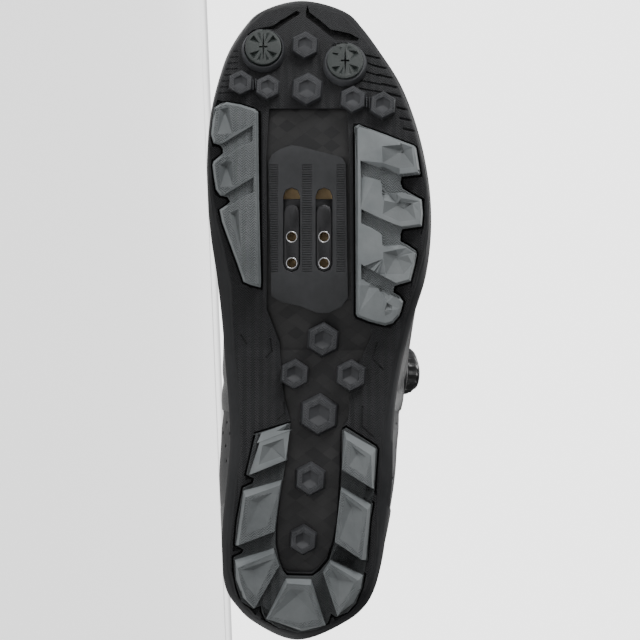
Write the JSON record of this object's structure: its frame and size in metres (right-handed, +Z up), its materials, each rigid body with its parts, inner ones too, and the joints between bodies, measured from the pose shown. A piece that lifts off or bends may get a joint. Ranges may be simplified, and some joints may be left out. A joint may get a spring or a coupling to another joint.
{
  "type": "off-road cycling shoe",
  "caption": "Left off-road cycling shoe with a lugged two-bolt sole, a smooth low upper and a lace dial, lying on its inner side.",
  "frame": {"origin": "middle of the base of the shoe as it lies on its inner side", "axes": "+X along the shoe towards the heel, +Y from the sole towards the collar, +Z up towards the outer side with the dial"},
  "size_m": [0.2794, 0.1182, 0.0964],
  "materials": {
    "black_rubber": "matt moulded rubber with a fine chevron grain",
    "grey_rubber": "mid grey matt rubber with paler bevels",
    "nylon": "satin moulded nylon",
    "plug": "dark grey-green moulded plug",
    "black_steel": "blackened steel, worn bright at the hole rims",
    "board": "tan fibre board and footbed cloth",
    "laminate": "smooth black laminated upper",
    "padding": "thin padded cloth",
    "wire": "coated lace wire",
    "guide": "moulded wire guide",
    "dial": "ribbed dial"
  },
  "bodies": {
    "shoe": {"outsole_frame": "black_rubber", "midsole_plate": "nylon", "tread_pad_medial": "grey_rubber", "tread_pad_lateral": "grey_rubber", "tread_pad_heel": "grey_rubber", "hex_lug_arch_front": "black_rubber", "hex_lug_arch_rear": "black_rubber", "hex_lug_heel_front": "black_rubber", "hex_lug_heel_rear": "black_rubber", "toe_stud_medial": "plug", "toe_stud_lateral": "plug", "cleat_bed": "nylon", "insole": "board", "upper": "laminate", "tongue": "padding", "lace_wire": "wire", "lace_guide_medial_top": "guide", "lace_guide_lateral_middle": "guide", "lace_guide_medial_middle": "guide", "lace_guide_lateral_low": "guide", "lace_guide_medial_low": "guide", "dial_base": "nylon", "dial_knob": "dial"},
    "nut": {"cleat_nut": "black_steel"}
  },
  "joints": [
    {"name": "nut_slide", "type": "slide", "parent": "shoe", "child": "nut", "axis": [-0.9992, 0, 0.0398], "range_m": [0, 0.007]}
  ]
}
